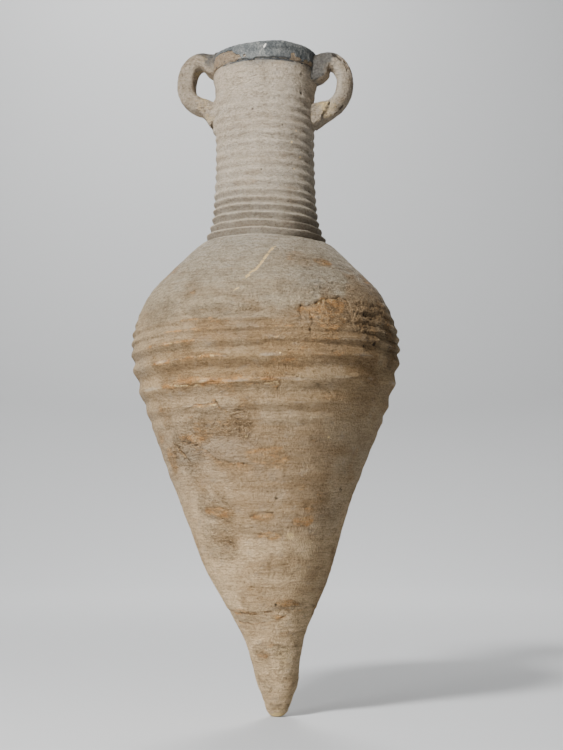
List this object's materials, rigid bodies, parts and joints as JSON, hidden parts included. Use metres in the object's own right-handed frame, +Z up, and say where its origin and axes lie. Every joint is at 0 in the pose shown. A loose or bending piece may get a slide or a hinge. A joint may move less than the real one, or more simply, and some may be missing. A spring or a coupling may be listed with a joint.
{
  "type": "footless amphora",
  "caption": "Footless clay amphora with a pointed toe, conical body, broad ribbed belly, long ribbed neck, collared rim and small ring handles, lined with pitch.",
  "frame": {"origin": "on the vessel's main axis, 165 mm above the worn end of the toe, where a ring stand carries the cone", "axes": "+Z up along the main axis from the toe to the rim, +X towards the right handle, the handles lying on the X axis, -Y the side that the picture shows"},
  "size_m": [0.2607, 0.2606, 0.6459],
  "materials": {
    "body_clay": "matt, unglazed, weathered grey-beige fired clay with ochre stains",
    "neck_clay": "matt, unglazed, pale grey-beige fired clay",
    "pale_clay": "matt, unglazed, worn pale tan fired clay",
    "rim_pitch": "matt dark grey aged pitch, chipped",
    "lining_pitch": "matt near-black aged pitch"
  },
  "bodies": {
    "root": {"toe": "pale_clay", "lower_body": "body_clay", "upper_body": "body_clay", "neck": "neck_clay", "rim": "neck_clay", "handle_left": "pale_clay", "handle_right": "pale_clay", "pitch_lining": "lining_pitch", "lip_pitch": "rim_pitch"}
  },
  "joints": []
}
